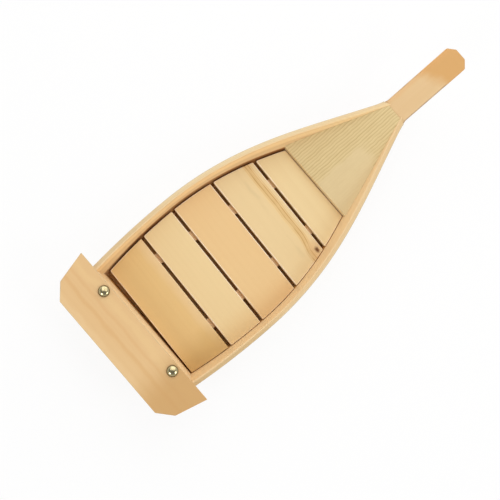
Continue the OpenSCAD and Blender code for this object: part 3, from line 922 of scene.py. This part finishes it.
print(f"the bend is {bend_length[-1]:.4f} m long")

# %% [markdown]
# ## Brads and their holes
# Sixteen brads hold the bottom to the planks, six go through the planks and ten hold
# the slats to their runners. Their places are read from the packed nodes: each brad
# is one island of loose triangles, and the middles of its two end discs give its
# axis. A tree puts a rod at every place, which is less work than copying objects and
# leaves one mesh for each body. The same tree with a larger width makes the cutters
# for the holes in the planks.

# %% Places of the brads
def axes_of(node):
    """The two end middles of each rod in a CAD node."""
    shape = open_shape(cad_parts[node].data)
    left, found = set(shape.verts), []
    while left:
        island, edge_of = [], [left.pop()]
        while edge_of:
            vertex = edge_of.pop()
            island.append(vertex.co.copy())
            near = {e.other_vert(vertex) for e in vertex.link_edges} & left
            left -= near
            edge_of += near
        cloud = np.array(island)
        centre = cloud.mean(0)
        axis = np.linalg.svd(cloud - centre)[2][0]
        reach = (cloud - centre) @ axis
        found.append((Vector(centre + axis * reach.min()), Vector(centre + axis * reach.max())))
    shape.free()
    return found


brad_ends = {node: axes_of(node) for node in ("base_brads", "side_brads", "slat_brads")}
print({node: len(ends) for node, ends in brad_ends.items()})

# %% Rod tree
BRAD, HOLE, BRAD_EASE = 1.2 * MM, 1.3 * MM, 0.15 * MM
ROD_SIDES = 24


def make_rod_tree():
    tree, take, give = new_group("rods", {"Starts": "Geometry", "Width": BRAD, "Finish": "Material"},
                                 {"Rods": "Geometry"}, kind="GeometryNodeTree")
    way = output(tree, "GeometryNodeInputNamedAttribute", 0, {"Name": "way"}, data_type="FLOAT_VECTOR")
    length = vector_math("LENGTH", way, result="Value")
    turn = output(tree, "FunctionNodeAlignRotationToVector", 0, {"Vector": way}, axis="Z")
    radius = take["Width"] / 2.0
    size = output(tree, "ShaderNodeCombineXYZ", 0, {0: radius, 1: radius, 2: length})
    rod = output(tree, "GeometryNodeMeshCylinder", "Mesh", {
        "Vertices": ROD_SIDES, "Radius": 1.0, "Depth": 1.0})
    rod = output(tree, "GeometryNodeTransform", 0, {"Geometry": rod, "Translation": (0, 0, 0.5)})
    rods = output(tree, "GeometryNodeInstanceOnPoints", 0, {
        "Points": take["Starts"], "Instance": rod, "Rotation": turn, "Scale": size})
    finish_tree(give["Rods"], rods, take["Finish"])
    return tree


rod_tree = make_rod_tree()


def make_rods(name, ends, width, finish, longer=0.0):
    aims = [(b - a).normalized() * longer for a, b in ends]
    ways = [b - a + aim * 2 for (a, b), aim in zip(ends, aims)]
    starts = [a - aim for (a, b), aim in zip(ends, aims)]
    return grow(name, rod_tree, starts, {"way": ways}, width=width, finish=finish)


brads = {node: make_rods(node.replace("brads", "pins"), ends, BRAD, brad_steel)
         for node, ends in brad_ends.items()}
print("rods:", [pins.name for pins in brads.values()])

# %% Holes in the planks and their finish
SHARP = math.radians(25)
cutters = make_rods("hole_cutters", brad_ends["side_brads"], HOLE, port_wood, longer=1.5 * MM)
for node, plank in planks.items():
    plank.modifiers.new("holes", "BOOLEAN").object = cutters
    finish_board(settle(plank))
    lay_grain(plank, GRAIN_STARTS[node])
    place_piece(plank, "hull", node)
bpy.data.objects.remove(cutters)
for node, pins in brads.items():
    shape = open_shape(pins.data)
    rims = [e for e in shape.edges if e.calc_face_angle(0) > SHARP]
    bmesh.ops.bevel(shape, geom=rims, offset=BRAD_EASE, segments=2, affect="EDGES")
    close_shape(shape, pins.data)
    place_piece(pins, "slatted_deck" if node == "slat_brads" else "hull", node)

# %% [markdown]
# ## The boards that the CAD already shapes well
# The bottom, the stem board with its tongue, the transom, the bulkhead and the
# runners are flat boards. Their CAD meshes are right, but every edge is sharp. A
# copy is merged and cleaned, and its long edges are bevelled in code, so that only
# the wood is eased and the small brad holes stay crisp.

# %% Eased copies of CAD boards
FLAT = math.radians(0.4)
SHORTEST_EASED = 1 * MM


def eased_board(shape, name, material, ease, edges):
    """Rounds the edges over, marks the roundings and returns the finished board."""
    arris = shape.faces.layers.float.new("arris")
    made = bmesh.ops.bevel(shape, geom=edges, offset=ease, segments=3, profile=0.5, affect="EDGES")
    for face in made["faces"]:
        face[arris] = 1.0
    mesh = bpy.data.meshes.new(name)
    close_shape(shape, mesh)
    mesh.materials.append(material)
    return weigh_normals(new_object(name, mesh))


def eased_copy(name, node, material, ease):
    shape = open_shape(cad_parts[node].data, CAD_MERGE)
    bmesh.ops.dissolve_limit(shape, angle_limit=FLAT, verts=shape.verts, edges=shape.edges)
    shape.edges.ensure_lookup_table()
    edges = [e for e in shape.edges if len(e.link_faces) == 2
             and e.calc_face_angle(0) > SHARP and e.calc_length() > SHORTEST_EASED]
    return eased_board(shape, name, material, ease, edges)


for name, node, material, ease, slot, body in (
        ("bottom_board", "bottom_plank", base_wood, 0.4 * MM, "base_wood", "hull"),
        ("stem_and_tongue", "stem_board", stem_wood, 0.9 * MM, "stem_wood", "hull"),
        ("leaning_transom", "transom", transom_wood, 0.4 * MM, "transom_wood", "hull"),
        ("bulkhead", "bow_bulkhead", transom_wood, 0.3 * MM, "transom_wood", "hull"),
        ("port_deck_runner", "port_runner", runner_wood, 0.4 * MM, "runner_wood", "slatted_deck"),
        ("starboard_deck_runner", "starboard_runner", runner_wood, 0.4 * MM, "runner_wood", "slatted_deck")):
    place_piece(eased_copy(name, node, material, ease), body, node)

# %% [markdown]
# ## The stern board
# A wide board with free ends and two cut corners lies across the stern. It is an
# outline pulled up to its thickness, with all its edges rounded over.

# %% Stern board
STERN_FRONT, STERN_MIDDLE, STERN_REAR = 85 * MM, 77.1 * MM, 63.6 * MM
STERN_CUT, STERN_EASE = 11.6 * MM, 0.7 * MM


def make_stern_board():
    low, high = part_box("stern_board")
    port_half = [(X_TRANSOM, STERN_FRONT), (X_REAR + STERN_CUT, STERN_MIDDLE), (X_REAR, STERN_REAR)]
    outline = port_half + [(x, -y) for x, y in reversed(port_half)]
    shape = bmesh.new()
    face = shape.faces.new([shape.verts.new((x, y, low.z)) for x, y in outline])
    pulled = bmesh.ops.extrude_face_region(shape, geom=[face])["geom"]
    lifted = [g for g in pulled if isinstance(g, bmesh.types.BMVert)]
    bmesh.ops.translate(shape, vec=(0, 0, high.z - low.z), verts=lifted)
    bmesh.ops.recalc_face_normals(shape, faces=shape.faces)
    return eased_board(shape, "stern_crosspiece", stern_wood, STERN_EASE, list(shape.edges))


place_piece(make_stern_board(), "hull", "stern_board")

# %% [markdown]
# ## The loose slatted deck
# Five slats lie side by side with narrow gaps. Each slat's ends follow the planks at
# an even distance, and the whole deck lies a little out of square, as a hand-made
# insert does. Each slat is lofted from sections across its width. Its end points are
# found by a few rounds of trial, because the turn and the curve depend on each other.

# %% Places of the slats
SLAT_SHARES = [0.214, 0.183, 0.22, 0.221, 0.162]
SLAT_GAP, END_GAP = 3.3 * MM, 0.6 * MM
TURN_COS, TURN_SIN = math.cos(-SKEW), math.sin(-SKEW)
TRIALS = 8
x_front = X_DECK - END_GAP
x_back = X_TRANSOM + (Z_STERN - Z_SLAT_LOW) * RAKE + END_GAP + inside(X_TRANSOM, Z_SLAT_LOW) * math.tan(SKEW)
x_middle = (x_front + x_back) / 2
slatted_length = x_front - x_back - (len(SLAT_SHARES) - 1) * SLAT_GAP


def slat_reach(x, z):
    return inside(x, z) - SIDE_GAP * widened(x)


def edge_place(x, side):
    """Where the turned line at x meets the slats' outline on one side, along the hull."""
    along = x - x_middle
    across = side * HALF_BEAM
    for _ in range(TRIALS):
        place = x_middle + along * TURN_COS - across * TURN_SIN
        across = (side * slat_reach(place, Z_SLATS) - along * TURN_SIN) / TURN_COS
    return place


print(f"slats from x = {x_back:.4f} to {x_front:.4f} m, {slatted_length:.4f} m of it wood")

# %% Slats
SLAT_EASE, SLAT_STEPS = 0.8 * MM, 12
QUARTER = [math.radians(a) for a in (0, 30, 60, 90)]


def slat_section(starboard_x, port_x, drawn_in):
    low, high = Z_SLAT_LOW + drawn_in, Z_SLATS - drawn_in

    def corner(x, side, z):
        return (x, side * (slat_reach(x, z) - drawn_in) - SIDE_SHIFT, z)

    return rounded([corner(port_x, 1, low), corner(starboard_x, -1, low),
                    corner(starboard_x, -1, high), corner(port_x, 1, high)],
                   [FOOT_EASE, FOOT_EASE, SLAT_EASE, SLAT_EASE])


def slat_edge(ends, inward, angles):
    """The sections that round one long edge of a slat over."""
    return [slat_section(*[x + inward * SLAT_EASE * (1 - math.cos(a)) for x in ends],
                         SLAT_EASE * (1 - math.sin(a))) for a in angles]


def make_slat(number, material):
    begin = x_back + slatted_length * sum(SLAT_SHARES[:number]) + SLAT_GAP * number
    end = begin + slatted_length * SLAT_SHARES[number]
    last = number == len(SLAT_SHARES) - 1
    starts = [edge_place(begin, side) for side in (-1, 1)]
    stops = [x_front, x_front] if last else [edge_place(end, side) for side in (-1, 1)]
    sections = slat_edge(starts, 1, QUARTER)
    for i in range(1, SLAT_STEPS):
        t = i / SLAT_STEPS
        sections.append(slat_section(*[a + (b - a) * t for a, b in zip(starts, stops)], 0.0))
    sections += slat_edge(stops, -1, reversed(QUARTER))
    return loft(f"deck_slat_{number + 1}", sections, material)


for number, (material, slot) in enumerate((
        (slat_dark, "slat_wood_dark"), (slat_pale, "slat_wood_pale"), (slat_warm, "slat_wood_warm"),
        (slat_knotty, "slat_wood_pale"), (slat_last, "slat_wood_pale"))):
    place_piece(finish_board(make_slat(number, material)), "slatted_deck", f"slat_{number + 1}")

# %% [markdown]
# ## The bow deck
# One straight-grained board fills the bow between the planks. It rises a little to
# the tongue and thins out where it lies on the stem board.

# %% Bow deck
DECK, DECK_THINNEST = 5 * MM, 0.4 * MM
DECK_EASE, DECK_EDGE = 0.5 * MM, 0.12 * MM
DECK_STEPS = 40
Z_DECK = Z_SLATS + DECK
DECK_SLOPE = (stem_top(X_NECK) - Z_DECK) / (X_NECK - X_DECK)
DECK_THICK = DECK * math.sqrt(1 + DECK_SLOPE ** 2)
thin_by = stem_top(X_NECK) + GLUE + DECK_THINNEST - (Z_DECK + (X_NECK - X_DECK) * DECK_SLOPE)
x_eased, x_deck_end = X_DECK + DECK_EASE, X_NECK - thin_by / (STEM_RISE - DECK_SLOPE)


def deck_section(x, drawn_in=0.0):
    high = Z_DECK + (x - X_DECK) * DECK_SLOPE - drawn_in
    low = max(high + drawn_in - DECK_THICK, stem_top(x) + GLUE) + drawn_in

    def corner(side, z):
        return (x, side * (inside(x, z) - GLUE), z)

    return rounded([corner(1, low), corner(-1, low), corner(-1, high), corner(1, high)],
                   [0.0, 0.0, DECK_EDGE, DECK_EDGE])


deck_sections = [deck_section(X_DECK + DECK_EASE * (1 - math.cos(a)), DECK_EASE * (1 - math.sin(a)))
                 for a in QUARTER]
deck_sections += [deck_section(x_eased + (x_deck_end - x_eased) * i / DECK_STEPS)
                  for i in range(1, DECK_STEPS + 1)]
place_piece(finish_board(loft("bow_deck_board", deck_sections, deck_wood)), "hull", "bow_deck")

# %% [markdown]
# ## The two domed nails
# Each nail has a low polished dome with a thin rolled rim. A sphere whose upper half
# is scaled to the head's height and whose lower half is almost flat gives both at
# once. The tree notes how far each point is from the middle, for the painted reflection
# that darkens the rim, adds the shank and sets a nail on each place.

# %% Dome nail tree
NAIL_SPACING = 92 * MM
DOME_SEGMENTS, DOME_RINGS = 64, 40


def make_nail_tree():
    tree, take, give = new_group("dome nails", {
        "Places": "Geometry", "Head Width": 10.4 * MM, "Head Height": 3.2 * MM, "Rim": 0.5 * MM,
        "Shank Width": 1.8 * MM, "Shank Length": 14 * MM, "Finish": "Material"},
        {"Nails": "Geometry"}, kind="GeometryNodeTree")
    ball = output(tree, "GeometryNodeMeshUVSphere", "Mesh", {
        "Segments": DOME_SEGMENTS, "Rings": DOME_RINGS, "Radius": 1.0})
    x, y, z = parts(output(tree, "GeometryNodeInputPosition"))
    radius, rim_height = take["Head Width"] / 2.0, take["Rim"]
    tall = calc("MAXIMUM", z, 0.0) * (take["Head Height"] - rim_height)
    height = tall + calc("MINIMUM", z, 0.0) * rim_height + rim_height
    place = output(tree, "ShaderNodeCombineXYZ", 0, {0: x * radius, 1: y * radius, 2: height})
    marked = output(tree, "GeometryNodeStoreNamedAttribute", 0, {
        "Geometry": ball, "Name": "rim", "Value": calc("SQRT", x * x + y * y)}, data_type="FLOAT")
    head = output(tree, "GeometryNodeSetPosition", "Geometry", {"Geometry": marked, "Position": place})
    shank = output(tree, "GeometryNodeMeshCylinder", "Mesh", {
        "Vertices": ROD_SIDES, "Radius": take["Shank Width"] / 2.0, "Depth": take["Shank Length"]})
    down = output(tree, "ShaderNodeCombineXYZ", 0, {2: take["Shank Length"] * -0.5})
    shank = output(tree, "GeometryNodeTransform", 0, {"Geometry": shank, "Translation": down})
    nail = add(tree, "GeometryNodeJoinGeometry")
    for half in (head, shank):
        feed(nail.inputs[0], half)
    nails = output(tree, "GeometryNodeInstanceOnPoints", 0, {
        "Points": take["Places"], "Instance": Flow(tree, nail.outputs[0])})
    finish_tree(give["Nails"], nails, take["Finish"])
    return tree


nail_low, nail_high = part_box("stern_nails")
nail_x = (nail_low.x + nail_high.x) / 2
board_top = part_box("stern_board")[1].z
nail_places = [(nail_x, side * NAIL_SPACING / 2, board_top) for side in (-1, 1)]
nails = grow("dome_nails", make_nail_tree(), nail_places, finish=dome_brass)
for face in nails.data.polygons:
    face.use_smooth = len(face.vertices) < 5 and face.normal.z > -0.999
place_piece(nails, "hull", "stern_nails")

# %% [markdown]
# ## Floor, world and lamps
# The board lies on a plain white floor. The floor's own shading keeps the shadow,
# and most of what the camera and the shiny nails see of it is plain white. The world
# is white near the horizon and dark overhead, like a light tent with an opening for
# the camera. One broad softbox and two small lamps stand round it. Their places were
# chosen from the three bright spots that a domed nail shows.

# %% Floor
FLOOR_REACH, WHITE_SHARE = 3.0, 0.88


def make_floor():
    mesh = bpy.data.meshes.new("floor")
    mesh.from_pydata([(x * FLOOR_REACH, y * FLOOR_REACH, 0) for x, y in ((-1, -1), (1, -1), (1, 1), (-1, 1))],
                     [], [(0, 1, 2, 3)])
    material, tree, shader = new_material("white floor", {
        "Base Color": (0.93, 0.93, 0.93, 1), "Roughness": 0.9, "Specular IOR Level": 0.0})
    ray = add(tree, "ShaderNodeLightPath").outputs
    by_camera, by_gloss, by_glass = [Flow(tree, ray[f"Is {kind} Ray"])
                                     for kind in ("Camera", "Glossy", "Transmission")]
    seen = calc("MAXIMUM", calc("MAXIMUM", by_camera, by_gloss), by_glass)
    white = output(tree, "ShaderNodeEmission", 0, {"Color": (1, 1, 1, 1), "Strength": 1.0})
    both = output(tree, "ShaderNodeMixShader", 0, {
        0: seen * WHITE_SHARE, 1: Flow(tree, shader.outputs[0]), 2: white})
    feed(tree.nodes["Material Output"].inputs["Surface"], both)
    mesh.materials.append(material)
    new_object("floor", mesh)


make_floor()
print(f"floor {2 * FLOOR_REACH:.0f} m wide")

# %% World and lamps
LAMP_AIM = Vector((-0.05, 0, 0))
HORIZON_END, OVERHEAD_START = 0.15, 0.9


def make_world(overhead, horizon):
    world = bpy.data.worlds.new("light tent")
    bpy.context.scene.world = world
    world.use_nodes = True
    tree = world.node_tree
    _, _, height = parts(output(tree, "ShaderNodeTexCoord", "Generated"))
    color = mix(fit(height, HORIZON_END, OVERHEAD_START), (horizon,) * 3 + (1,), (overhead,) * 3 + (1,))
    feed(tree.nodes["Background"].inputs["Color"], color)


def make_lamp(name, place, size, power, color=(1, 1, 1)):
    data = bpy.data.lights.new(name, "AREA")
    data.shape, data.size, data.energy, data.color = "SQUARE", size, power, color
    lamp = new_object(name, data)
    lamp.location = place
    lamp.rotation_euler = (LAMP_AIM - Vector(place)).to_track_quat("-Z", "Y").to_euler()


make_world(overhead=0.2, horizon=1.42)
make_lamp("bow softbox", (0.41, 0.39, 0.96), size=1.3, power=6.9, color=(1.0, 0.97, 0.94))
make_lamp("stern lamp", (-0.90, -0.11, 0.87), size=0.34, power=1.68)
make_lamp("starboard lamp", (0.15, -0.73, 0.80), size=0.36, power=1.58)
print("lamps:", sorted(light.name for light in bpy.data.lights))

# %% [markdown]
# ## The camera
# The board was photographed from almost straight above, from a place over its stern,
# with its length turned across the picture. The camera's axes are built from the
# lean along the board, the lean across it and that turn.

# %% Camera
LEAN_ALONG, LEAN_ACROSS, PICTURE_TURN = math.radians(11.05), math.radians(-0.8), math.radians(40.77)
AIM, DISTANCE = Vector((-51.2, -9.8, 40.0)) * MM, 0.8
SENSOR, FOCAL_PIXELS, PICTURE = 36, 879.5, 500
look = Vector((math.sin(LEAN_ALONG), -math.sin(LEAN_ACROSS), 0))
look.z = -math.sqrt(1 - look.length_squared)
level_right = look.cross(Vector((0, 1, 0))).normalized()
level_up = level_right.cross(look)
right = math.cos(PICTURE_TURN) * level_right - math.sin(PICTURE_TURN) * level_up
up = math.sin(PICTURE_TURN) * level_right + math.cos(PICTURE_TURN) * level_up
camera = new_object("photo camera", bpy.data.cameras.new("photo camera"))
camera.data.sensor_width = SENSOR
camera.data.lens = SENSOR * FOCAL_PIXELS / PICTURE
axes = Matrix((right, up, -look)).transposed().to_4x4()
camera.matrix_world = Matrix.Translation(AIM - look * DISTANCE) @ axes
bpy.context.scene.camera = camera
bpy.context.scene.view_settings.view_transform = "Standard"
print(f"lens {camera.data.lens:.1f} mm")
